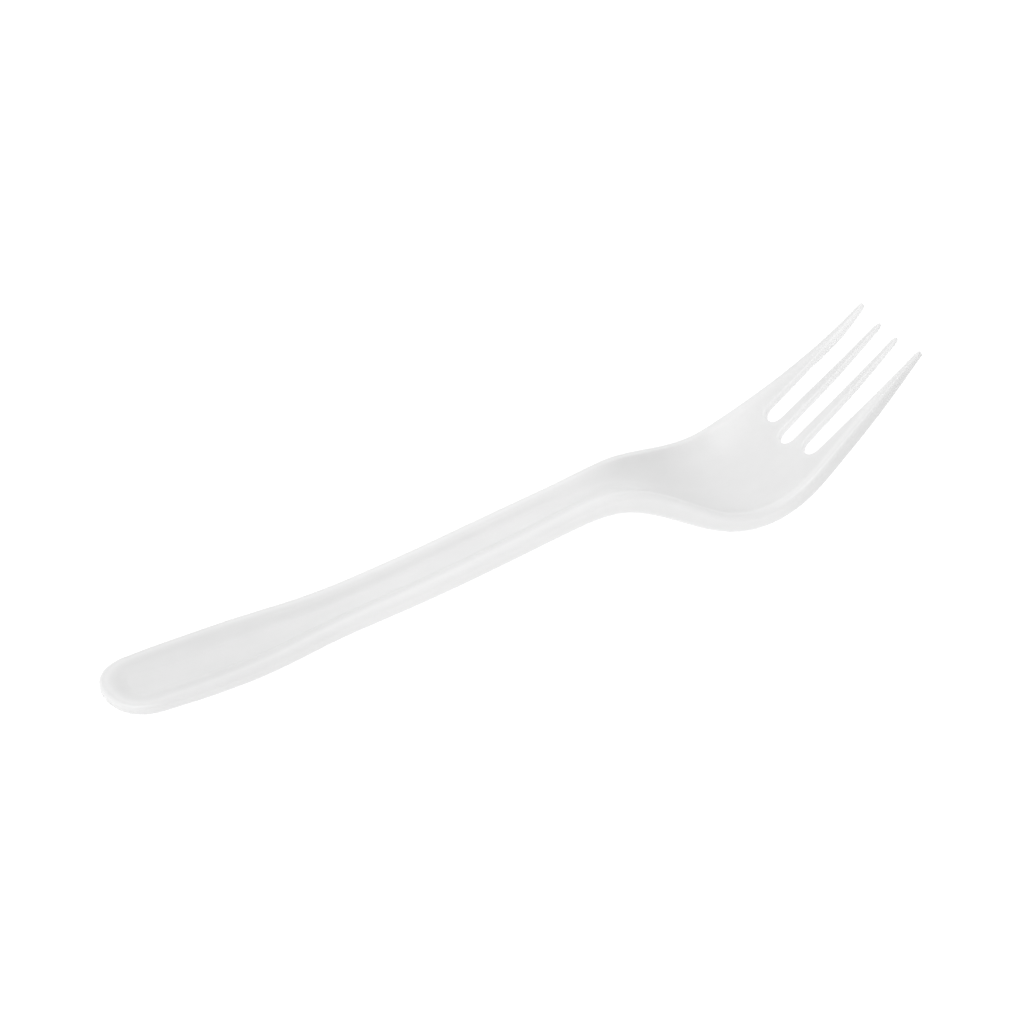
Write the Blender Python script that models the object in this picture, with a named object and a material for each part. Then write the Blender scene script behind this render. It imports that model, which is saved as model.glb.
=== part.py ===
"""A disposable four-tine table fork, injection moulded in one piece of white plastic.

It lies as it rests on a table: the handle end at -X, the tines at +X, +Z up. The handle is a
shallow channel with a raised rim, it climbs to a neck and drops into a dished head, and four
tapered tines rise from the head. The side edges stand taller than the plate between them.

The solid is drawn along its rim line, which is the upper edge seen from the side. At every
station a section is laid across, measured down from the rim line (drop) and out from the
middle (y). All lengths here are millimetres.
"""

import math

import bmesh
import bpy
import numpy as np

MM = 0.001

HANDLE_END, TIPS = 0.7, 160.2  # where the fork starts and ends, measured along the table

# Rim line seen from the side: distance from the handle end, height above the table.
RIM_LINE = (
    (0.0, 1.5), (8.0, 1.88), (20.0, 2.2), (32.0, 2.75), (48.0, 4.02), (64.0, 5.87),
    (80.0, 8.28), (92.0, 10.2), (98.0, 10.95), (103.0, 10.75), (108.0, 9.35), (113.0, 7.0),
    (118.0, 4.8), (123.0, 3.7), (128.0, 3.95), (133.0, 5.6), (140.0, 9.45), (145.0, 12.65),
    (152.0, 17.5), (161.0, 24.5),
)
# Half of the width, from where the rounded handle end is full.
END_FULL = 9.0
END_POWER = 2.3  # 2 would be an ellipse
HALF_WIDTH = (
    (9.0, 7.9), (14.0, 8.05), (20.0, 8.05), (27.0, 7.8), (34.0, 7.15), (40.0, 6.4),
    (46.0, 5.95), (56.0, 5.8), (70.0, 5.75), (82.0, 5.58), (90.0, 5.38), (96.0, 5.45),
    (101.0, 6.15), (105.0, 7.35), (109.0, 9.0), (113.0, 11.0), (117.0, 12.75),
    (121.0, 13.65), (127.0, 14.0), (132.0, 13.95), (137.0, 13.25), (142.0, 12.2),
    (148.0, 11.1), (154.0, 10.25), (161.0, 9.6),
)
# How far the floor of the channel and of the head lies below the rim.
FLOOR_DROP = (
    (0.0, 0.25), (8.0, 0.6), (14.0, 0.98), (20.0, 1.2), (30.0, 1.3), (40.0, 1.2),
    (60.0, 0.92), (80.0, 0.8), (94.0, 0.82), (101.0, 1.1), (106.0, 1.7), (111.0, 2.35),
    (117.0, 2.6), (124.0, 2.4), (130.0, 1.8), (136.0, 0.95), (142.0, 0.4),
    (148.0, 0.15), (155.0, 0.03), (161.0, 0.0),
)
# Width of the slope between the rim and the floor.
SLOPE_WIDTH = (
    (0.0, 2.6), (8.0, 3.1), (17.0, 3.4), (27.0, 3.0), (37.0, 2.6), (50.0, 2.3),
    (60.0, 2.2), (90.0, 2.1), (97.0, 2.6), (102.0, 3.5), (108.0, 5.4), (116.0, 8.5),
    (132.0, 9.0), (142.0, 6.0), (150.0, 4.0), (161.0, 3.0),
)
# 0 where the underside is flat across, 1 where it follows the dish of the head.
DISH = ((0.0, 0.0), (92.0, 0.0), (108.0, 1.0), (161.0, 1.0))
# Thickness of the plate between the edges.
PLATE = (
    (0.0, 1.25), (60.0, 1.35), (120.0, 1.35), (138.0, 1.5), (150.0, 1.3), (161.0, 0.8),
)
# Height of the side edges.
EDGE_HEIGHT = (
    (0.0, 1.55), (8.0, 1.9), (20.0, 2.25), (36.0, 2.6), (60.0, 3.05), (80.0, 3.25),
    (92.0, 3.55), (102.0, 3.95), (110.0, 3.85), (117.0, 3.5), (125.0, 3.35), (138.0, 3.0),
    (148.0, 2.7), (153.0, 2.2), (157.0, 1.6), (161.0, 0.95),
)
# From the outer edge to where the slope begins.
RIM_WIDTH = (
    (0.0, 2.0), (10.0, 2.1), (20.0, 2.2), (80.0, 2.1), (92.0, 2.0), (104.0, 1.8),
    (161.0, 1.7),
)
EDGE_WALL = 1.3  # thickness of the side edges under the plate
EDGE_LEAN = 3.0  # rise of their inner faces for each millimetre inwards
# Radius of the outer top edge and of the outer bottom edge.
TOP_ROUND = (
    (0.0, 0.7), (8.0, 0.8), (20.0, 1.0), (120.0, 1.05), (136.0, 0.85), (148.0, 0.55),
    (161.0, 0.35),
)
BOTTOM_ROUND = (
    (0.0, 0.5), (20.0, 0.8), (120.0, 0.85), (140.0, 0.7), (150.0, 0.5), (161.0, 0.3),
)
TINE_ROUND = 0.42  # radius of the edges along the slots

# Slots between the tines: where they end in the head, half width and middle, root and tip.
SIDE_ROOT, MIDDLE_ROOT = 138.0, 136.8
ROOT_LENGTH = 1.9  # the rounded end of a slot
SIDE_MIDDLE = ((136.0, 6.15), (150.0, 6.08), (161.0, 5.98))
SIDE_HALF = ((136.0, 1.85), (141.0, 1.95), (150.0, 2.25), (161.0, 2.8))
MIDDLE_HALF = ((136.0, 1.7), (141.0, 1.78), (150.0, 1.9), (161.0, 2.22))
INNER_TIPS = 159.6  # where the two inner tines end
TIP_LENGTH = 1.1  # the rounded end of a tine
TIP_LAST = 0.96  # share of it before the small flat end

# How finely the surface is divided.
END_ROWS = 9
HANDLE_STEP, NECK_STEP, TINE_STEP = 5.6, 2.5, 2.6
NECK_FROM, NECK_TO = 92.0, 136.0
EDGE_OFFSETS = (0.0, 0.14, 0.5, 1.05, 2.3, 3.4, 4.2)
EDGE_SPAN = 5.0  # a strip narrower than this squeezes the offsets
BESIDE_SLOT = (0.1, 0.3)
OUTER_FILL, INNER_FILL = 2, 2

WHITE = (0.86, 0.86, 0.85, 1.0)


def smooth_curve(stations):
    """A natural cubic through the stations, as a function of the distance along the fork."""
    xs, ys = (np.array(side, float) for side in zip(*stations))
    gaps = np.diff(xs)
    count = len(xs)
    system = np.eye(count)
    right = np.zeros(count)
    for i in range(1, count - 1):
        system[i, i - 1 : i + 2] = gaps[i - 1], 2 * (gaps[i - 1] + gaps[i]), gaps[i]
        right[i] = 6 * (
            (ys[i + 1] - ys[i]) / gaps[i] - (ys[i] - ys[i - 1]) / gaps[i - 1]
        )
    bends = np.linalg.solve(system, right)

    def at(x):
        x = np.clip(x, xs[0], xs[-1])
        i = np.clip(np.searchsorted(xs, x, side="right") - 1, 0, count - 2)
        gap, left, rest = gaps[i], x - xs[i], xs[i + 1] - x
        return (
            (bends[i] * rest**3 + bends[i + 1] * left**3) / (6 * gap)
            + (ys[i] / gap - bends[i] * gap / 6) * rest
            + (ys[i + 1] / gap - bends[i + 1] * gap / 6) * left
        )

    return at


def plain_curve(stations):
    xs, ys = zip(*stations)
    return lambda x: np.interp(x, xs, ys)


rim_height = smooth_curve(RIM_LINE)
full_width = smooth_curve(HALF_WIDTH)
floor_drop = smooth_curve(FLOOR_DROP)
edge_height = smooth_curve(EDGE_HEIGHT)
slope_width = smooth_curve(SLOPE_WIDTH)
rim_width = plain_curve(RIM_WIDTH)
top_round = plain_curve(TOP_ROUND)
bottom_round = plain_curve(BOTTOM_ROUND)
dish_share = plain_curve(DISH)
plate = plain_curve(PLATE)
side_middle = smooth_curve(SIDE_MIDDLE)
side_half = smooth_curve(SIDE_HALF)
middle_half = smooth_curve(MIDDLE_HALF)


def rim_slope(x):
    return (rim_height(x + 0.05) - rim_height(x - 0.05)) / 0.1


def half_width(x):
    end = np.clip((END_FULL - x) / (END_FULL - HANDLE_END), 0, 1)
    return full_width(np.maximum(x, END_FULL)) * (1 - end**END_POWER) ** (1 / END_POWER)


def opened(x, root):
    """Share of the full slot width: it grows from 0 at the root as a rounded end."""
    q = np.clip((x - root) / ROOT_LENGTH, 0, 1)
    return (1 - (1 - q) ** 2.4) ** (1 / 2.4)


def narrowed(x, tip):
    q = np.clip((x - tip + TIP_LENGTH) / TIP_LENGTH, 0, TIP_LAST)
    return np.sqrt(1 - q * q)


def outer_tine(x):
    """Inner and outer side of the outer tine on the +Y side."""
    inner = side_middle(x) + side_half(x) * opened(x, SIDE_ROOT)
    outer = half_width(x)
    middle, half = (inner + outer) / 2, (outer - inner) / 2
    half = half * narrowed(x, TIPS)
    return middle - half, middle + half


def inner_tine(x):
    inner = middle_half(x) * opened(x, MIDDLE_ROOT)
    outer = side_middle(x) - side_half(x) * opened(x, SIDE_ROOT)
    middle, half = (inner + outer) / 2, (outer - inner) / 2
    half = half * narrowed(x, INNER_TIPS)
    return middle - half, middle + half


# Distance along the rim line, so that roundings keep their size on the steep parts.
LINE_X = np.linspace(0, TIPS, 3213)
LINE_S = np.concatenate(
    [[0.0], np.cumsum(np.hypot(np.diff(LINE_X), np.diff(rim_height(LINE_X))))]
)


def along(x):
    return np.interp(x, LINE_X, LINE_S)


def edge_points(side, start, stop):
    """The points of one edge in the unrolled plan, close together where it rounds an end."""
    turn = 1 - np.cos(np.linspace(0, math.pi / 2, 40))
    x = np.concatenate(
        [
            start + 2.0 * turn,
            np.arange(start + 2.0, stop - 2.0, 0.25),
            stop - 2.0 * turn[::-1],
        ]
    )
    return np.stack([along(x), side(x)], axis=1)


def distance(points, lines):
    """Shortest distance from each point to the given edges."""
    found = np.full(len(points), 1e9)
    for line in lines:
        near = (line[:, 0] > points[:, 0].min() - 16) & (line[:, 0] < points[:, 0].max() + 16)
        line = line[near]
        if len(line) < 2:
            continue
        a, d = line[:-1], np.diff(line, axis=0)
        length = np.maximum((d * d).sum(axis=1), 1e-12)
        to = points[:, None, :] - a[None]
        share = np.clip((to * d[None]).sum(axis=2) / length[None], 0, 1)
        gap = to - share[..., None] * d[None]
        found = np.minimum(found, np.sqrt((gap * gap).sum(axis=2).min(axis=1)))
    return found


RIGHT_EDGE = edge_points(half_width, HANDLE_END, TIPS)
OUTLINE = [RIGHT_EDGE, RIGHT_EDGE * (1, -1)]
SLOTS = [
    edge_points(lambda x: outer_tine(x)[0], SIDE_ROOT, TIPS),
    edge_points(lambda x: inner_tine(x)[1], SIDE_ROOT, INNER_TIPS),
    edge_points(lambda x: inner_tine(x)[0], MIDDLE_ROOT, INNER_TIPS),
]
SLOTS += [line * (1, -1) for line in SLOTS]


def rounding(d, radius):
    """How far a rounded edge has dropped at distance d from it."""
    inside = np.clip(radius - d, 0, radius)
    return radius - np.sqrt(np.maximum(radius**2 - inside**2, 0))


def section(x, y):
    """Drop of the top and of the underside at one station, for an array of y."""
    points = np.stack([np.full(len(y), along(x)), y], axis=1)
    outer = distance(points, OUTLINE)
    slot = distance(points, SLOTS)
    width = half_width(x)
    rim = float(rim_width(x))
    slope = min(float(slope_width(x)), max(width - rim - 0.3, 0.3))
    u = np.clip((outer - rim) / slope, 0, 1)
    dish = float(dish_share(x))
    late = u**1.2  # the side of the channel is steepest near its foot
    fall = (1 - dish) * late * late * (3 - 2 * late) + dish * (1 - (1 - u) ** 2)
    drop = float(floor_drop(x))
    top = drop * fall + rounding(outer, float(top_round(x))) + rounding(slot, TINE_ROUND)
    web = float(plate(x)) + drop * ((1 - dish) + dish * fall)
    edge = float(edge_height(x)) - EDGE_LEAN * np.maximum(outer - EDGE_WALL, 0)
    blend = np.clip(0.5 + (edge - web) / 0.8, 0, 1)
    under = web + (edge - web) * blend + 0.4 * blend * (1 - blend)
    under = under - rounding(outer, float(bottom_round(x))) - rounding(slot, TINE_ROUND)
    return top, np.maximum(under, top + 0.15)


def placed(x, y, drop):
    """Points of the part, with the underside held flat where it would pass the table."""
    turn = math.atan(float(rim_slope(x)))
    px = x + math.sin(turn) * drop
    pz = float(rim_height(x)) - math.cos(turn) * drop
    return np.stack([px, y, np.maximum(pz, 0)], axis=1)


def rows():
    """Stations shared by the whole width, up to where the slots have their full width."""
    turn = 1 - np.cos(np.linspace(0, math.pi / 2, END_ROWS))
    handle = np.linspace(
        END_FULL, NECK_FROM, round((NECK_FROM - END_FULL) / HANDLE_STEP) + 1
    )
    neck = np.linspace(NECK_FROM, NECK_TO, round((NECK_TO - NECK_FROM) / NECK_STEP) + 1)
    roots = [
        root + step
        for root in (MIDDLE_ROOT, SIDE_ROOT)
        for step in (-0.3, -0.1, 0.0, 0.08, 0.35, 0.8)
    ]
    full = SIDE_ROOT + ROOT_LENGTH
    end = HANDLE_END + (END_FULL - HANDLE_END) * turn
    found = np.concatenate([end, handle[1:], neck[1:], roots, [full]])
    return np.unique(np.round(found, 3))


def tine_rows(start, tip):
    count = round((tip - TIP_LENGTH - start) / TINE_STEP)
    body = np.linspace(start, tip - TIP_LENGTH, count + 1)[1:]
    end = tip - TIP_LENGTH + TIP_LENGTH * TIP_LAST * np.array([0.5, 0.8, 1.0])
    return np.concatenate([body, end])


def strip_columns(low, high, outer):
    """Positions across one strip, from its side nearer the middle to its outer side."""
    width = high - low
    beside = np.array(BESIDE_SLOT) * min(1.0, width / 2.4)
    if outer:
        edge = np.array(EDGE_OFFSETS) * min(1.0, width / EDGE_SPAN)
        first, last = low + beside[-1], high - edge[-1]
        fill = np.linspace(first, last, OUTER_FILL + 2)[1:-1]
        return np.concatenate([[low], low + beside, fill, high - edge[::-1]])
    fill = np.linspace(low + beside[-1], high - beside[-1], INNER_FILL + 2)[1:-1]
    return np.concatenate([[low], low + beside, fill, high - beside[::-1], [high]])


def borders(x):
    """The four strips before the slots: their shared borders run on from the slot middles."""
    share = np.interp(x, (0.0, 96.0, SIDE_ROOT), (0.3, 0.3, 0.466))
    return half_width(x) * share


class Shell:
    def __init__(self):
        self.points, self.known, self.faces = [], {}, []

    def add(self, found):
        ids = []
        for p in found:
            key = tuple(np.round(p, 5))
            if key not in self.known:
                self.known[key] = len(self.points)
                self.points.append(p)
            ids.append(self.known[key])
        return ids

    def face(self, *ids):
        kept = [v for i, v in enumerate(ids) if v != ids[i - 1]]
        if len(set(kept)) > 2:
            self.faces.append(kept)


def strip(shell, stations, sides, outer, walls, sign):
    """One of the strips that run the length of the fork. Each row is a top line and an
    under line, joined at a side by a wall where walls says there is one."""
    last = None
    for x in stations:
        low, high = sides(x)
        y = strip_columns(low, high, outer)
        top, under = section(x, y)
        top_ids = shell.add(placed(x, sign * y, top))
        under_ids = shell.add(placed(x, sign * y, under))
        if last:
            pairs = [(last[0], top_ids, True), (last[1], under_ids, False)]
            for old, new, up in pairs:
                for i in range(len(y) - 1):
                    ring = (old[i], new[i], new[i + 1], old[i + 1])
                    shell.face(*(ring if up == (sign < 0) else ring[::-1]))
            for i, walled in ((0, walls(x)[0]), (len(y) - 1, walls(x)[1])):
                if walled:
                    ring = (last[0][i], last[1][i], under_ids[i], top_ids[i])
                    shell.face(*(ring if (i == 0) == (sign < 0) else ring[::-1]))
        last = (top_ids, under_ids)
    ring = last[0] + last[1][::-1]
    shell.face(*(ring if sign > 0 else ring[::-1]))


def fork_mesh():
    shell = Shell()
    shared = rows()
    outer_rows = np.concatenate([shared, tine_rows(shared[-1], TIPS)])
    inner_rows = np.concatenate([shared, tine_rows(shared[-1], INNER_TIPS)])

    def outer_sides(x):
        low, high = outer_tine(x)
        return (float(borders(x)) if x < SIDE_ROOT else float(low)), float(high)

    def inner_sides(x):
        low, high = inner_tine(x)
        return (
            (0.0 if x < MIDDLE_ROOT else float(low)),
            (float(borders(x)) if x < SIDE_ROOT else float(high)),
        )

    for sign in (1, -1):
        strip(
            shell, outer_rows, outer_sides, True, lambda x: (x > SIDE_ROOT, True), sign
        )
        strip(
            shell,
            inner_rows,
            inner_sides,
            False,
            lambda x: (x > MIDDLE_ROOT, x > SIDE_ROOT),
            sign,
        )
    return np.array(shell.points), shell.faces


def white_plastic():
    made = bpy.data.materials.new("white_plastic")
    made.use_nodes = True
    shader = next(n for n in made.node_tree.nodes if n.type == "BSDF_PRINCIPLED")
    shader.inputs["Base Color"].default_value = WHITE
    shader.inputs["Roughness"].default_value = 0.3
    made.diffuse_color = WHITE
    return made


def main():
    for obj in list(bpy.data.objects):
        bpy.data.objects.remove(obj, do_unlink=True)
    points, faces = fork_mesh()
    low, high = points[:, 0].min(), points[:, 0].max()
    points[:, 0] -= (low + high) / 2
    mesh = bpy.data.meshes.new("fork")
    mesh.from_pydata((points * MM).tolist(), [], faces)
    body = bmesh.new()
    body.from_mesh(mesh)
    bmesh.ops.triangulate(body, faces=[f for f in body.faces if len(f.verts) > 4])
    bmesh.ops.recalc_face_normals(body, faces=body.faces)
    body.to_mesh(mesh)
    body.free()
    mesh.materials.append(white_plastic())
    mesh.shade_smooth()
    mesh.set_sharp_from_angle(angle=math.radians(50))
    fork = bpy.data.objects.new("fork", mesh)
    bpy.context.scene.collection.objects.link(fork)


main()
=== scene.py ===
"""The looks of the disposable fork: its surface, its white plastic, a pale floor, soft light and the camera.

The fork's solid is one moulding, so one piece stands for it here. It has the same form as the
solid, divided more finely, with full roundings on its edges. Lengths are millimetres unless a
name ends in _M.
"""

import math

import bmesh
import bpy
import numpy as np
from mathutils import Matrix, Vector

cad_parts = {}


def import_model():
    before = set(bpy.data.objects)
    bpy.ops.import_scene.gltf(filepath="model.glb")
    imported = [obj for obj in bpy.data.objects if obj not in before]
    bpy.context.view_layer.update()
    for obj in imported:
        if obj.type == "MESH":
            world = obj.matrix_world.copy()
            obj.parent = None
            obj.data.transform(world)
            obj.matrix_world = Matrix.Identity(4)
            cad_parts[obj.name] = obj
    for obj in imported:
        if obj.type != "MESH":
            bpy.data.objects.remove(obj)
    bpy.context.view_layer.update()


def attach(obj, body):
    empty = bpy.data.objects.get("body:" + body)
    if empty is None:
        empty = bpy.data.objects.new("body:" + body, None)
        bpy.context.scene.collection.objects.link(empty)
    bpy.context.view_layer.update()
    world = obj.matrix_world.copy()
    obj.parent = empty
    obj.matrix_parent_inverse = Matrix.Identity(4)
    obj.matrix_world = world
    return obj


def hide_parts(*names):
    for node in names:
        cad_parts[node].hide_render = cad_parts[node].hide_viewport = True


MM = 0.001

HANDLE_END, TIPS = 0.7, 160.2  # where the fork starts and ends, measured along the table

# Rim line seen from the side: distance from the handle end, height above the table.
RIM_LINE = (
    (0.0, 1.5), (8.0, 1.88), (20.0, 2.2), (32.0, 2.75), (48.0, 4.02), (64.0, 5.87),
    (80.0, 8.28), (92.0, 10.2), (98.0, 10.95), (103.0, 10.75), (108.0, 9.35), (113.0, 7.0),
    (118.0, 4.8), (123.0, 3.7), (128.0, 3.95), (133.0, 5.6), (140.0, 9.45), (145.0, 12.65),
    (152.0, 17.5), (161.0, 24.5),
)
# Half of the width, from where the rounded handle end is full.
END_FULL = 9.0
END_POWER = 2.3  # 2 would be an ellipse
HALF_WIDTH = (
    (9.0, 7.9), (14.0, 8.05), (20.0, 8.05), (27.0, 7.8), (34.0, 7.15), (40.0, 6.4),
    (46.0, 5.95), (56.0, 5.8), (70.0, 5.75), (82.0, 5.58), (90.0, 5.38), (96.0, 5.45),
    (101.0, 6.15), (105.0, 7.35), (109.0, 9.0), (113.0, 11.0), (117.0, 12.75),
    (121.0, 13.65), (127.0, 14.0), (132.0, 13.95), (137.0, 13.25), (142.0, 12.2),
    (148.0, 11.1), (154.0, 10.25), (161.0, 9.6),
)
# How far the floor of the channel and of the head lies below the rim.
FLOOR_DROP = (
    (0.0, 0.25), (8.0, 0.6), (14.0, 0.98), (20.0, 1.2), (30.0, 1.3), (40.0, 1.2),
    (60.0, 0.92), (80.0, 0.8), (94.0, 0.82), (101.0, 1.1), (106.0, 1.7), (111.0, 2.35),
    (117.0, 2.6), (124.0, 2.4), (130.0, 1.8), (136.0, 0.95), (142.0, 0.4),
    (148.0, 0.15), (155.0, 0.03), (161.0, 0.0),
)
# Width of the slope between the rim and the floor.
SLOPE_WIDTH = (
    (0.0, 2.6), (8.0, 3.1), (17.0, 3.4), (27.0, 3.0), (37.0, 2.6), (50.0, 2.3),
    (60.0, 2.2), (90.0, 2.1), (97.0, 2.6), (102.0, 3.5), (108.0, 5.4), (116.0, 8.5),
    (132.0, 9.0), (142.0, 6.0), (150.0, 4.0), (161.0, 3.0),
)
# 0 where the underside is flat across, 1 where it follows the dish of the head.
DISH = ((0.0, 0.0), (92.0, 0.0), (108.0, 1.0), (161.0, 1.0))
# Thickness of the plate between the edges.
PLATE = (
    (0.0, 1.25), (60.0, 1.35), (120.0, 1.35), (138.0, 1.5), (150.0, 1.3), (161.0, 0.8),
)
# Height of the side edges.
EDGE_HEIGHT = (
    (0.0, 1.55), (8.0, 1.9), (20.0, 2.25), (36.0, 2.6), (60.0, 3.05), (80.0, 3.25),
    (92.0, 3.55), (102.0, 3.95), (110.0, 3.85), (117.0, 3.5), (125.0, 3.35), (138.0, 3.0),
    (148.0, 2.7), (153.0, 2.2), (157.0, 1.6), (161.0, 0.95),
)
# From the outer edge to where the slope begins.
RIM_WIDTH = (
    (0.0, 2.0), (10.0, 2.1), (20.0, 2.2), (80.0, 2.1), (92.0, 2.0), (104.0, 1.8),
    (161.0, 1.7),
)
EDGE_WALL = 1.3  # thickness of the side edges under the plate
EDGE_LEAN = 3.0  # rise of their inner faces for each millimetre inwards
# Radius of the outer top edge and of the outer bottom edge.
TOP_ROUND = (
    (0.0, 0.7), (8.0, 0.8), (20.0, 1.0), (120.0, 1.05), (136.0, 0.85), (148.0, 0.55),
    (161.0, 0.35),
)
BOTTOM_ROUND = (
    (0.0, 0.5), (20.0, 0.8), (120.0, 0.85), (140.0, 0.7), (150.0, 0.5), (161.0, 0.3),
)
TINE_ROUND = 0.42  # radius of the edges along the slots

# Slots between the tines: where they end in the head, half width and middle, root and tip.
SIDE_ROOT, MIDDLE_ROOT = 138.0, 136.8
ROOT_LENGTH = 1.9  # the rounded end of a slot
SIDE_MIDDLE = ((136.0, 6.15), (150.0, 6.08), (161.0, 5.98))
SIDE_HALF = ((136.0, 1.85), (141.0, 1.95), (150.0, 2.25), (161.0, 2.8))
MIDDLE_HALF = ((136.0, 1.7), (141.0, 1.78), (150.0, 1.9), (161.0, 2.22))
INNER_TIPS = 159.6  # where the two inner tines end
TIP_LENGTH = 1.1  # the rounded end of a tine
TIP_LAST = 0.96  # share of it before the small flat end

# How finely the surface is divided.
END_ROWS = 44
HANDLE_STEP, NECK_STEP, TINE_STEP = 0.8, 0.5, 0.5
NECK_FROM, NECK_TO = 92.0, 136.0
EDGE_OFFSETS = (
    0.0, 0.007, 0.027, 0.06, 0.105, 0.162, 0.229, 0.305, 0.39, 0.48, 0.58, 0.69, 0.8, 0.92,
    1.05, 1.2, 1.4, 1.6, 1.8, 2.0, 2.2, 2.4, 2.6, 2.8, 3.0, 3.2, 3.4, 3.6, 3.8, 4.0,
)
EDGE_SPAN = 5.8  # a strip narrower than this squeezes the offsets
TOUCH = 0.0004  # a point this near an edge counts as on it
BESIDE_SLOT = (0.008, 0.034, 0.075, 0.13, 0.195, 0.27, 0.35, 0.43, 0.53)
OUTER_FILL, INNER_FILL = 9, 7
BEFORE_ROOT = (0.5, 0.3, 0.2, 0.12, 0.06, 0.02, 0.0)
TIP_ROWS = (0.2, 0.38, 0.52, 0.64, 0.74, 0.82, 0.89, 0.95, 1.0)

# Light, floor and camera.
SKY_LOW, SKY_HIGH = 1.08, 0.56  # brightness of the surroundings near the horizon and above
SKY_TURNS = (0.1, 0.42)  # where one becomes the other, as the sine of the elevation
SKY_SIDE, SKY_FRONT = 0.15, 0.035  # how much darker its +X side and its +Y side are
BACK_WAY, BACK_DIM = (0.5, 0.85, 0.1), 0.0  # the surroundings behind the fork are dimmer
BACK_TURNS = (0.35, 0.9)
LIGHTS = (
    # name, power in watts, side in metres, azimuth, elevation, distance in metres
    ("overhead", 10.3, 1.1, -98.0, 72.0, 1.5),
)
FLOOR_GLOW = 1.02  # the floor is a pale sheet lit from beneath
FLOOR_HALF_M, FLOOR_GAP_M = 12.0, 0.00003
VIEW_AZIMUTH, VIEW_ELEVATION = -30.5, 35.0
DISTANCE_M = 0.9
TARGET_M = (0.002, 0.0, 0.008)
AIM_M = (-0.00155, 0.00192)  # the frame's middle lies this far right and up of the target
LENS = 179.7

# Lightness of the plastic along the fork, with painted shade in it (darker at the handle end, the neck and
# the tines), and painted light and shade near its edges.
LENGTH_TONE_AND_SHADE = (
    (0.0, 0.798), (20.0, 0.8), (35.0, 0.812), (55.0, 0.842), (95.0, 0.842), (108.0, 0.815),
    (125.0, 0.83), (140.0, 0.78), (161.0, 0.74),
)
# Painted highlight on the crest of the rounded rim.
CREST_HIGHLIGHT, CREST_AT, CREST_SPREAD = 0.045, 1.3, 0.6  # on the rounded rim
# Painted shade on the sides of the channel.
SLOPE_SHADE = ((0.0, 0.0), (12.0, -0.03), (40.0, -0.035), (60.0, -0.03), (88.0, -0.02),
             (100.0, 0.0), (161.0, 0.0))  # on the sides of the channel
SIDE_AT, SIDE_SPREAD = 3.0, 0.8
# Painted shade along the foot of the side edges, on the underside.
FOOT_SHADE = -0.02  # at the foot of the side edges
# Painted light on the walls of the slots.
SLOT_LIGHT, SLOT_SPREAD = 0.09, 0.25  # on the walls of the slots
TONE_SPREAD = 0.01  # of the flow marks and clouds


def smooth_curve(stations):
    """A natural cubic through the stations, as a function of the distance along the fork."""
    xs, ys = (np.array(side, float) for side in zip(*stations))
    gaps = np.diff(xs)
    count = len(xs)
    system = np.eye(count)
    right = np.zeros(count)
    for i in range(1, count - 1):
        system[i, i - 1 : i + 2] = gaps[i - 1], 2 * (gaps[i - 1] + gaps[i]), gaps[i]
        right[i] = 6 * (
            (ys[i + 1] - ys[i]) / gaps[i] - (ys[i] - ys[i - 1]) / gaps[i - 1]
        )
    bends = np.linalg.solve(system, right)

    def at(x):
        x = np.clip(x, xs[0], xs[-1])
        i = np.clip(np.searchsorted(xs, x, side="right") - 1, 0, count - 2)
        gap, left, rest = gaps[i], x - xs[i], xs[i + 1] - x
        return (
            (bends[i] * rest**3 + bends[i + 1] * left**3) / (6 * gap)
            + (ys[i] / gap - bends[i] * gap / 6) * rest
            + (ys[i + 1] / gap - bends[i + 1] * gap / 6) * left
        )

    return at


def plain_curve(stations):
    xs, ys = zip(*stations)
    return lambda x: np.interp(x, xs, ys)


rim_height = smooth_curve(RIM_LINE)
full_width = smooth_curve(HALF_WIDTH)
floor_drop = smooth_curve(FLOOR_DROP)
edge_height = smooth_curve(EDGE_HEIGHT)
slope_width = smooth_curve(SLOPE_WIDTH)
rim_width = plain_curve(RIM_WIDTH)
top_round = plain_curve(TOP_ROUND)
bottom_round = plain_curve(BOTTOM_ROUND)
dish_share = plain_curve(DISH)
plate = plain_curve(PLATE)
side_middle = smooth_curve(SIDE_MIDDLE)
side_half = smooth_curve(SIDE_HALF)
middle_half = smooth_curve(MIDDLE_HALF)


def rim_slope(x):
    return (rim_height(x + 0.05) - rim_height(x - 0.05)) / 0.1


def half_width(x):
    end = np.clip((END_FULL - x) / (END_FULL - HANDLE_END), 0, 1)
    return full_width(np.maximum(x, END_FULL)) * (1 - end**END_POWER) ** (1 / END_POWER)


def opened(x, root):
    """Share of the full slot width: it grows from 0 at the root as a rounded end."""
    q = np.clip((x - root) / ROOT_LENGTH, 0, 1)
    return (1 - (1 - q) ** 2.4) ** (1 / 2.4)


def narrowed(x, tip):
    q = np.clip((x - tip + TIP_LENGTH) / TIP_LENGTH, 0, TIP_LAST)
    return np.sqrt(1 - q * q)


def outer_tine(x):
    """Inner and outer side of the outer tine on the +Y side."""
    inner = side_middle(x) + side_half(x) * opened(x, SIDE_ROOT)
    outer = half_width(x)
    middle, half = (inner + outer) / 2, (outer - inner) / 2
    half = half * narrowed(x, TIPS)
    return middle - half, middle + half


def inner_tine(x):
    inner = middle_half(x) * opened(x, MIDDLE_ROOT)
    outer = side_middle(x) - side_half(x) * opened(x, SIDE_ROOT)
    middle, half = (inner + outer) / 2, (outer - inner) / 2
    half = half * narrowed(x, INNER_TIPS)
    return middle - half, middle + half


# Distance along the rim line, so that roundings keep their size on the steep parts.
LINE_X = np.linspace(0, TIPS, 3213)
LINE_S = np.concatenate(
    [[0.0], np.cumsum(np.hypot(np.diff(LINE_X), np.diff(rim_height(LINE_X))))]
)


def along(x):
    return np.interp(x, LINE_X, LINE_S)


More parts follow.
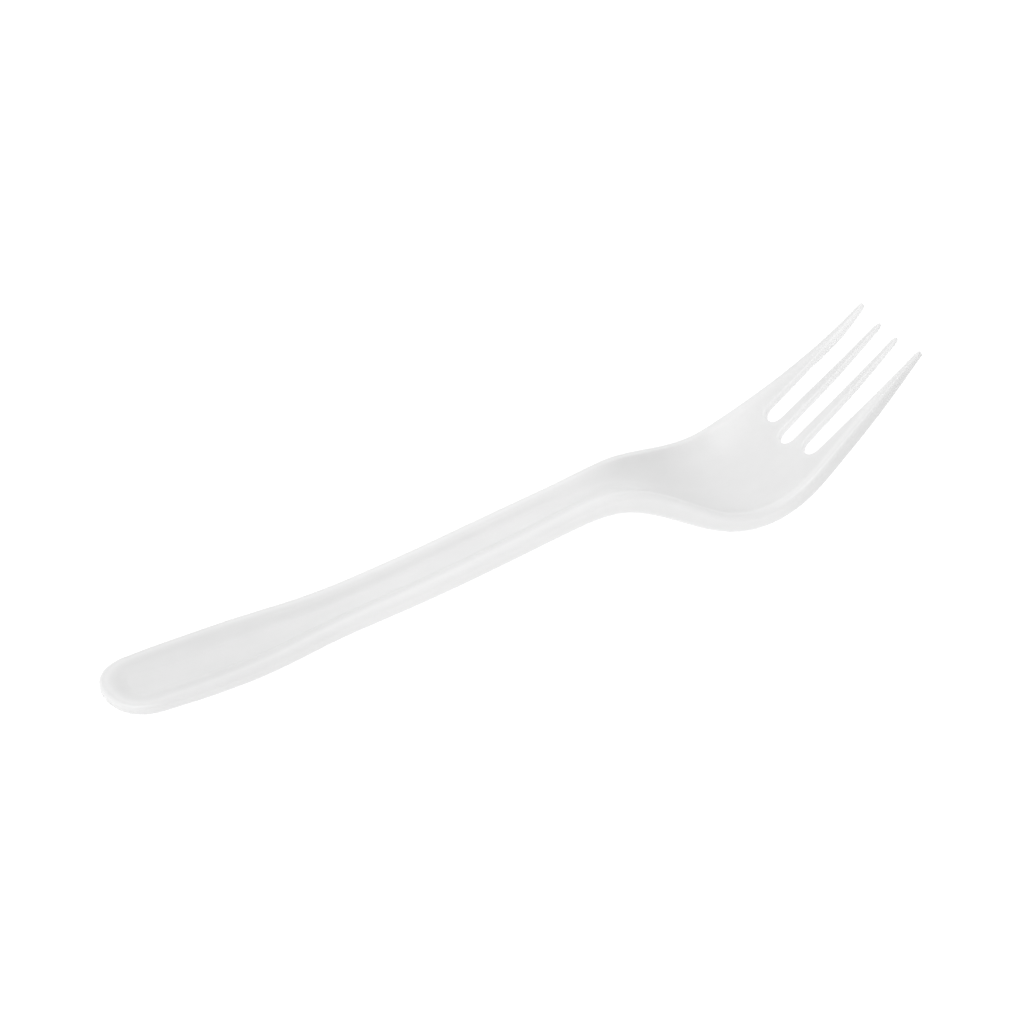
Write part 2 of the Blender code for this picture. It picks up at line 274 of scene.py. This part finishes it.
def edge_points(side, start, stop):
    """The points of one edge in the unrolled plan, close together where it rounds an end."""
    turn = 1 - np.cos(np.linspace(0, math.pi / 2, 130))
    x = np.concatenate(
        [
            start + 2.0 * turn,
            np.arange(start + 2.0, stop - 2.0, 0.25),
            stop - 2.0 * turn[::-1],
        ]
    )
    return np.stack([along(x), side(x)], axis=1)


def distance(points, lines):
    """Shortest distance from each point to the given edges."""
    found = np.full(len(points), 1e9)
    for line in lines:
        near = (line[:, 0] > points[:, 0].min() - 16) & (line[:, 0] < points[:, 0].max() + 16)
        line = line[near]
        if len(line) < 2:
            continue
        a, d = line[:-1], np.diff(line, axis=0)
        length = np.maximum((d * d).sum(axis=1), 1e-12)
        to = points[:, None, :] - a[None]
        share = np.clip((to * d[None]).sum(axis=2) / length[None], 0, 1)
        gap = to - share[..., None] * d[None]
        found = np.minimum(found, np.sqrt((gap * gap).sum(axis=2).min(axis=1)))
    return np.maximum(found - TOUCH, 0)


RIGHT_EDGE = edge_points(half_width, HANDLE_END, TIPS)
OUTLINE = [RIGHT_EDGE, RIGHT_EDGE * (1, -1)]
SLOTS = [
    edge_points(lambda x: outer_tine(x)[0], SIDE_ROOT, TIPS),
    edge_points(lambda x: inner_tine(x)[1], SIDE_ROOT, INNER_TIPS),
    edge_points(lambda x: inner_tine(x)[0], MIDDLE_ROOT, INNER_TIPS),
]
SLOTS += [line * (1, -1) for line in SLOTS]


def rounding(d, radius):
    """How far a rounded edge has dropped at distance d from it."""
    inside = np.clip(radius - d, 0, radius)
    return radius - np.sqrt(np.maximum(radius**2 - inside**2, 0))


def section(x, y):
    """Drop of the top and of the underside at one station, for an array of y."""
    points = np.stack([np.full(len(y), along(x)), y], axis=1)
    outer = distance(points, OUTLINE)
    slot = distance(points, SLOTS)
    width = half_width(x)
    rim = float(rim_width(x))
    slope = min(float(slope_width(x)), max(width - rim - 0.3, 0.3))
    u = np.clip((outer - rim) / slope, 0, 1)
    dish = float(dish_share(x))
    late = u**1.2  # the side of the channel is steepest near its foot
    fall = (1 - dish) * late * late * (3 - 2 * late) + dish * (1 - (1 - u) ** 2)
    drop = float(floor_drop(x))
    top = drop * fall + rounding(outer, float(top_round(x))) + rounding(slot, TINE_ROUND)
    web = float(plate(x)) + drop * ((1 - dish) + dish * fall)
    edge = float(edge_height(x)) - EDGE_LEAN * np.maximum(outer - EDGE_WALL, 0)
    blend = np.clip(0.5 + (edge - web) / 0.8, 0, 1)
    under = web + (edge - web) * blend + 0.4 * blend * (1 - blend)
    under = under - rounding(outer, float(bottom_round(x))) - rounding(slot, TINE_ROUND)
    return top, np.maximum(under, top + 0.15)


def placed(x, y, drop):
    """Points of the part, with the underside held flat where it would pass the table."""
    turn = math.atan(float(rim_slope(x)))
    px = x + math.sin(turn) * drop
    pz = float(rim_height(x)) - math.cos(turn) * drop
    return np.stack([px, y, np.maximum(pz, 0)], axis=1)


def rows():
    """Stations shared by the whole width, up to where the slots have their full width."""
    turn = 1 - np.cos(np.linspace(0, math.pi / 2, END_ROWS))
    handle = np.linspace(
        END_FULL, NECK_FROM, round((NECK_FROM - END_FULL) / HANDLE_STEP) + 1
    )
    neck = np.linspace(NECK_FROM, NECK_TO, round((NECK_TO - NECK_FROM) / NECK_STEP) + 1)
    opening = ROOT_LENGTH * (1 - np.cos(np.linspace(0, math.pi / 2, 14)))
    roots = [
        root + step
        for root in (MIDDLE_ROOT, SIDE_ROOT)
        for step in (*(-before for before in BEFORE_ROOT), *opening[1:])
    ]
    full = SIDE_ROOT + ROOT_LENGTH
    end = HANDLE_END + (END_FULL - HANDLE_END) * turn
    found = np.concatenate([end, handle[1:], neck[1:], roots, [full]])
    return np.unique(np.round(found, 3))


def tine_rows(start, tip):
    count = round((tip - TIP_LENGTH - start) / TINE_STEP)
    body = np.linspace(start, tip - TIP_LENGTH, count + 1)[1:]
    end = tip - TIP_LENGTH + TIP_LENGTH * TIP_LAST * np.array(TIP_ROWS)
    return np.concatenate([body, end])


def strip_columns(low, high, outer):
    """Positions across one strip, from its side nearer the middle to its outer side."""
    width = high - low
    beside = np.array(BESIDE_SLOT) * min(1.0, width / 2.4)
    if outer:
        edge = np.array(EDGE_OFFSETS) * min(1.0, width / EDGE_SPAN)
        first, last = low + beside[-1], high - edge[-1]
        fill = np.linspace(first, last, OUTER_FILL + 2)[1:-1]
        return np.concatenate([[low], low + beside, fill, high - edge[::-1]])
    fill = np.linspace(low + beside[-1], high - beside[-1], INNER_FILL + 2)[1:-1]
    return np.concatenate([[low], low + beside, fill, high - beside[::-1], [high]])


def borders(x):
    """The four strips before the slots: their shared borders run on from the slot middles."""
    share = np.interp(x, (0.0, 96.0, SIDE_ROOT), (0.3, 0.3, 0.466))
    return half_width(x) * share


class Shell:
    def __init__(self):
        self.points, self.tones, self.known, self.faces = [], [], {}, []

    def add(self, found, tones):
        ids = []
        for p, tone in zip(found, tones):
            key = tuple(np.round(p, 5))
            if key not in self.known:
                self.known[key] = len(self.points)
                self.points.append(p)
                self.tones.append(tone)
            ids.append(self.known[key])
        return ids

    def face(self, *ids):
        kept = [v for i, v in enumerate(ids) if v != ids[i - 1]]
        if len(set(kept)) > 2:
            self.faces.append(kept)


def tone_and_painted_light(x, y):
    """Lightness of the plastic on the top and on the underside at one station, with painted light and shade
    added to it.
    """
    points = np.stack([np.full(len(y), along(x)), y], axis=1)
    outer = distance(points, OUTLINE)
    slot = distance(points, SLOTS)
    # Painted highlight on the rim crest.
    painted_rim_light_and_shade = CREST_HIGHLIGHT * np.exp(-(((outer - CREST_AT) / CREST_SPREAD) ** 2))
    # Painted shade on the sides of the channel.
    side = float(np.interp(x, *zip(*SLOPE_SHADE)))
    painted_rim_light_and_shade = painted_rim_light_and_shade + side * np.exp(-(((outer - SIDE_AT) / SIDE_SPREAD) ** 2))
    # Painted light on the walls of the slots.
    painted_slot_light = SLOT_LIGHT * np.exp(-((slot / SLOT_SPREAD) ** 2))
    # Painted shade along the foot of the side edges.
    painted_foot_shade = FOOT_SHADE * np.exp(-((outer / 1.2) ** 2))
    # The plastic's lightness along the fork, with painted shade at the handle end, neck and tines.
    base = float(np.interp(x, *zip(*LENGTH_TONE_AND_SHADE)))
    return base + painted_rim_light_and_shade + painted_slot_light, base + painted_slot_light + painted_foot_shade


def strip(shell, stations, sides, outer, walls, sign):
    """One of the strips that run the length of the fork. Each row is a top line and an
    under line, joined at a side by a wall where walls says there is one."""
    last = None
    for x in stations:
        low, high = sides(x)
        y = strip_columns(low, high, outer)
        top, under = section(x, y)
        top_tone, under_tone = tone_and_painted_light(x, y)
        top_ids = shell.add(placed(x, sign * y, top), top_tone)
        under_ids = shell.add(placed(x, sign * y, under), under_tone)
        if last:
            pairs = [(last[0], top_ids, True), (last[1], under_ids, False)]
            for old, new, up in pairs:
                for i in range(len(y) - 1):
                    ring = (old[i], new[i], new[i + 1], old[i + 1])
                    shell.face(*(ring if up == (sign < 0) else ring[::-1]))
            for i, walled in ((0, walls(x)[0]), (len(y) - 1, walls(x)[1])):
                if walled:
                    ring = (last[0][i], last[1][i], under_ids[i], top_ids[i])
                    shell.face(*(ring if (i == 0) == (sign < 0) else ring[::-1]))
        last = (top_ids, under_ids)
    ring = last[0] + last[1][::-1]
    shell.face(*(ring if sign > 0 else ring[::-1]))


def fork_mesh():
    shell = Shell()
    shared = rows()
    outer_rows = np.concatenate([shared, tine_rows(shared[-1], TIPS)])
    inner_rows = np.concatenate([shared, tine_rows(shared[-1], INNER_TIPS)])

    def outer_sides(x):
        low, high = outer_tine(x)
        return (float(borders(x)) if x < SIDE_ROOT else float(low)), float(high)

    def inner_sides(x):
        low, high = inner_tine(x)
        return (
            (0.0 if x < MIDDLE_ROOT else float(low)),
            (float(borders(x)) if x < SIDE_ROOT else float(high)),
        )

    for sign in (1, -1):
        strip(
            shell, outer_rows, outer_sides, True, lambda x: (x > SIDE_ROOT, True), sign
        )
        strip(
            shell,
            inner_rows,
            inner_sides,
            False,
            lambda x: (x > MIDDLE_ROOT, x > SIDE_ROOT),
            sign,
        )
    return np.array(shell.points), shell.tones, shell.faces


def fine_mesh(points, tones, faces):
    """The surface as a mesh in metres, centred as the solid is, with every face outwards."""
    mesh = bpy.data.meshes.new("fork_surface")
    mesh.from_pydata((points * MM).tolist(), [], faces)
    mesh.attributes.new("tone_and_painted_light", "FLOAT", "POINT").data.foreach_set("value", tones)
    body = bmesh.new()
    body.from_mesh(mesh)
    bmesh.ops.triangulate(body, faces=[f for f in body.faces if len(f.verts) > 4])
    bmesh.ops.recalc_face_normals(body, faces=body.faces)
    body.to_mesh(mesh)
    body.free()
    mesh.shade_smooth()
    return mesh


class Nodes:
    """Short calls for building a node material."""

    def __init__(self, name):
        self.material = bpy.data.materials.new(name)
        self.material.use_nodes = True
        self.tree = self.material.node_tree
        self.shader = next(n for n in self.tree.nodes if n.type == "BSDF_PRINCIPLED")
        coords = self.tree.nodes.new("ShaderNodeTexCoord")
        self.coords = coords.outputs["Object"]

    def add(self, kind, **values):
        node = self.tree.nodes.new(kind)
        for key, value in values.items():
            setattr(node, key, value)
        return node

    def link(self, a, b):
        self.tree.links.new(a, b)

    def scaled(self, scale, shift=(0.0, 0.0, 0.0)):
        node = self.add("ShaderNodeMapping")
        node.inputs["Scale"].default_value = scale
        node.inputs["Location"].default_value = shift
        self.link(self.coords, node.inputs["Vector"])
        return node.outputs["Vector"]

    def noise(self, scale, detail=3.0, roughness=0.5, shift=(0.0, 0.0, 0.0)):
        """Noise whose features are 1/scale metres long on each axis."""
        node = self.add("ShaderNodeTexNoise")
        node.inputs["Scale"].default_value = 1.0
        node.inputs["Detail"].default_value = detail
        node.inputs["Roughness"].default_value = roughness
        self.link(self.scaled(scale, shift), node.inputs["Vector"])
        return node.outputs["Fac"]

    def ranged(self, value, low, high, to_low, to_high):
        node = self.add("ShaderNodeMapRange")
        for key, number in zip(
            ("From Min", "From Max", "To Min", "To Max"), (low, high, to_low, to_high)
        ):
            node.inputs[key].default_value = number
        self.link(value, node.inputs["Value"])
        return node.outputs["Result"]

    def math(self, operation, a, b):
        node = self.add("ShaderNodeMath", operation=operation)
        for socket, value in zip(node.inputs, (a, b)):
            if isinstance(value, (int, float)):
                socket.default_value = value
            else:
                self.link(value, socket)
        return node.outputs[0]


def moulded_plastic():
    """White plastic from a polished mould: faint flow marks along the fork, a slightly uneven
    skin where it shrank, a fine grain, and patches that shine a little less. Its base colour follows a
    lightness on the mesh that holds painted light and shade."""
    n = Nodes("moulded_white")
    flow = n.noise((60.0, 420.0, 420.0), 4.0, 0.55)
    cloud = n.noise((140.0, 140.0, 140.0), 3.0, 0.5, (0.3, 0.1, 0.0))
    grain = n.noise((1500.0, 1500.0, 1500.0), 2.0, 0.5)
    shrink = n.noise((95.0, 150.0, 150.0), 2.0, 0.4, (0.0, 0.7, 0.2))

    tone = n.math("ADD", n.ranged(flow, 0.3, 0.7, -1.0, 1.0), n.ranged(cloud, 0.3, 0.7, -1.0, 1.0))
    # Base colour from the mesh: the plastic's tone with painted shade along the fork, a painted highlight on
    # the rim crest, painted shade on the channel sides and foot, painted light on the slot walls.
    plain = n.add("ShaderNodeAttribute", attribute_name="tone_and_painted_light").outputs["Fac"]
    varied = n.math("ADD", plain, n.ranged(tone, -1.6, 1.6, -TONE_SPREAD, TONE_SPREAD))
    grey = n.add("ShaderNodeCombineColor")
    for socket in grey.inputs:
        n.link(varied, socket)
    n.link(grey.outputs["Color"], n.shader.inputs["Base Color"])

    shine = n.math("ADD", n.ranged(cloud, 0.3, 0.7, 0.33, 0.4), n.ranged(flow, 0.3, 0.7, -0.02, 0.03))
    n.link(shine, n.shader.inputs["Roughness"])

    broad = n.add("ShaderNodeBump")
    broad.inputs["Strength"].default_value = 1.0
    broad.inputs["Distance"].default_value = 0.00006
    n.link(shrink, broad.inputs["Height"])
    fine = n.add("ShaderNodeBump")
    fine.inputs["Strength"].default_value = 0.6
    fine.inputs["Distance"].default_value = 0.000006
    n.link(grain, fine.inputs["Height"])
    n.link(broad.outputs["Normal"], fine.inputs["Normal"])
    n.link(fine.outputs["Normal"], n.shader.inputs["Normal"])

    s = n.shader.inputs
    s["IOR"].default_value = 1.5
    s["Subsurface Weight"].default_value = 0.35
    s["Subsurface Radius"].default_value = (1.0, 1.0, 1.0)
    s["Subsurface Scale"].default_value = 0.0012
    return n.material


def floor_material():
    """A pale matt sheet lit from beneath, so that what stands on it casts hardly a shadow."""
    n = Nodes("pale_sheet")
    fibre = n.noise((900.0, 900.0, 900.0), 4.0, 0.6)
    mix = n.add("ShaderNodeMix", data_type="RGBA")
    n.link(fibre, mix.inputs["Factor"])
    mix.inputs["A"].default_value = (0.155, 0.155, 0.155, 1.0)
    mix.inputs["B"].default_value = (0.165, 0.165, 0.165, 1.0)
    n.link(mix.outputs["Result"], n.shader.inputs["Base Color"])
    n.shader.inputs["Roughness"].default_value = 0.9
    n.shader.inputs["Specular IOR Level"].default_value = 0.0
    n.shader.inputs["Emission Color"].default_value = (1.0, 1.0, 1.0, 1.0)
    n.shader.inputs["Emission Strength"].default_value = FLOOR_GLOW
    n.material.cycles.emission_sampling = "NONE"  # far too wide to aim at
    return n.material


def stand_floor():
    mesh = bpy.data.meshes.new("floor")
    half, z = FLOOR_HALF_M, -FLOOR_GAP_M
    corners = [(-half, -half, z), (half, -half, z), (half, half, z), (-half, half, z)]
    mesh.from_pydata(corners, [], [(0, 1, 2, 3)])
    mesh.materials.append(floor_material())
    floor = bpy.data.objects.new("floor", mesh)
    bpy.context.scene.collection.objects.link(floor)


def area_light(name, power, size, azimuth, elevation, far):
    """A square soft light that looks at the fork from the given direction."""
    a, e = math.radians(azimuth), math.radians(elevation)
    way = Vector((math.sin(a) * math.cos(e), -math.cos(a) * math.cos(e), math.sin(e)))
    data = bpy.data.lights.new(name, "AREA")
    data.shape = "SQUARE"
    data.size = size
    data.energy = power
    light = bpy.data.objects.new(name, data)
    light.location = way * far
    light.rotation_euler = way.to_track_quat("Z", "Y").to_euler()
    bpy.context.scene.collection.objects.link(light)


def soft_light():
    world = bpy.data.worlds.new("studio")
    world.use_nodes = True
    tree = world.node_tree
    back = next(n for n in tree.nodes if n.type == "BACKGROUND")
    back.inputs["Color"].default_value = (1.0, 1.0, 1.0, 1.0)

    def put(kind, *sources, **values):
        node = tree.nodes.new(kind)
        for key, value in values.items():
            setattr(node, key, value)
        for socket, source in zip(node.inputs, sources):
            if isinstance(source, (int, float)):
                socket.default_value = source
            else:
                tree.links.new(source, socket)
        return node

    way = put("ShaderNodeSeparateXYZ", put("ShaderNodeTexCoord").outputs["Generated"])
    x, y, z = way.outputs
    side = put("ShaderNodeMath", x, -SKY_SIDE, 1.0, operation="MULTIPLY_ADD").outputs[0]
    side = put("ShaderNodeMath", y, -SKY_FRONT, side, operation="MULTIPLY_ADD").outputs[0]
    high = put("ShaderNodeMath", side, SKY_HIGH, operation="MULTIPLY").outputs[0]
    rise = put("ShaderNodeMapRange", z, *SKY_TURNS, 0.0, 1.0, interpolation_type="SMOOTHSTEP")
    sky = put("ShaderNodeMix", rise.outputs["Result"])
    sky.inputs["A"].default_value = SKY_LOW
    tree.links.new(high, sky.inputs["B"])
    behind = put("ShaderNodeVectorMath", way.inputs[0].links[0].from_socket, operation="DOT_PRODUCT")
    behind.inputs[1].default_value = Vector(BACK_WAY).normalized()
    lit = put("ShaderNodeMapRange", behind.outputs["Value"], *BACK_TURNS, 1.0, 1.0 - BACK_DIM)
    lit.interpolation_type = "SMOOTHSTEP"
    strength = put(
        "ShaderNodeMath", sky.outputs["Result"], lit.outputs["Result"], operation="MULTIPLY"
    )
    tree.links.new(strength.outputs[0], back.inputs["Strength"])
    world.cycles.sampling_method = "NONE"  # smooth enough to meet by chance
    bpy.context.scene.world = world
    for light in LIGHTS:
        area_light(*light)


def camera():
    """The photograph's direction: above the near side, turned towards the handle end."""
    a, e = math.radians(VIEW_AZIMUTH), math.radians(VIEW_ELEVATION)
    back = Vector((math.sin(a) * math.cos(e), -math.cos(a) * math.cos(e), math.sin(e)))
    right = Vector((math.cos(a), math.sin(a), 0.0))
    up = back.cross(right)
    target = Vector(TARGET_M)
    data = bpy.data.cameras.new("camera")
    data.lens = LENS
    data.sensor_width = 36.0
    data.clip_start, data.clip_end = 0.01, 100.0
    made = bpy.data.objects.new("camera", data)
    made.location = target + back * DISTANCE_M
    aim = target + right * AIM_M[0] + up * AIM_M[1]
    made.rotation_mode = "QUATERNION"
    made.rotation_quaternion = (made.location - aim).to_track_quat("Z", "Y")
    bpy.context.scene.collection.objects.link(made)
    bpy.context.scene.camera = made


def main():
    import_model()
    points, tones, faces = fork_mesh()
    points[:, 0] -= (points[:, 0].min() + points[:, 0].max()) / 2
    mesh = fine_mesh(points, tones, faces)
    mesh.materials.append(moulded_plastic())
    fork = bpy.data.objects.new("fork_surface", mesh)
    bpy.context.scene.collection.objects.link(fork)
    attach(fork, "root")
    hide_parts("fork")
    stand_floor()
    soft_light()
    camera()
    view = bpy.context.scene.view_settings
    view.view_transform = "Standard"
    view.look = "None"


main()
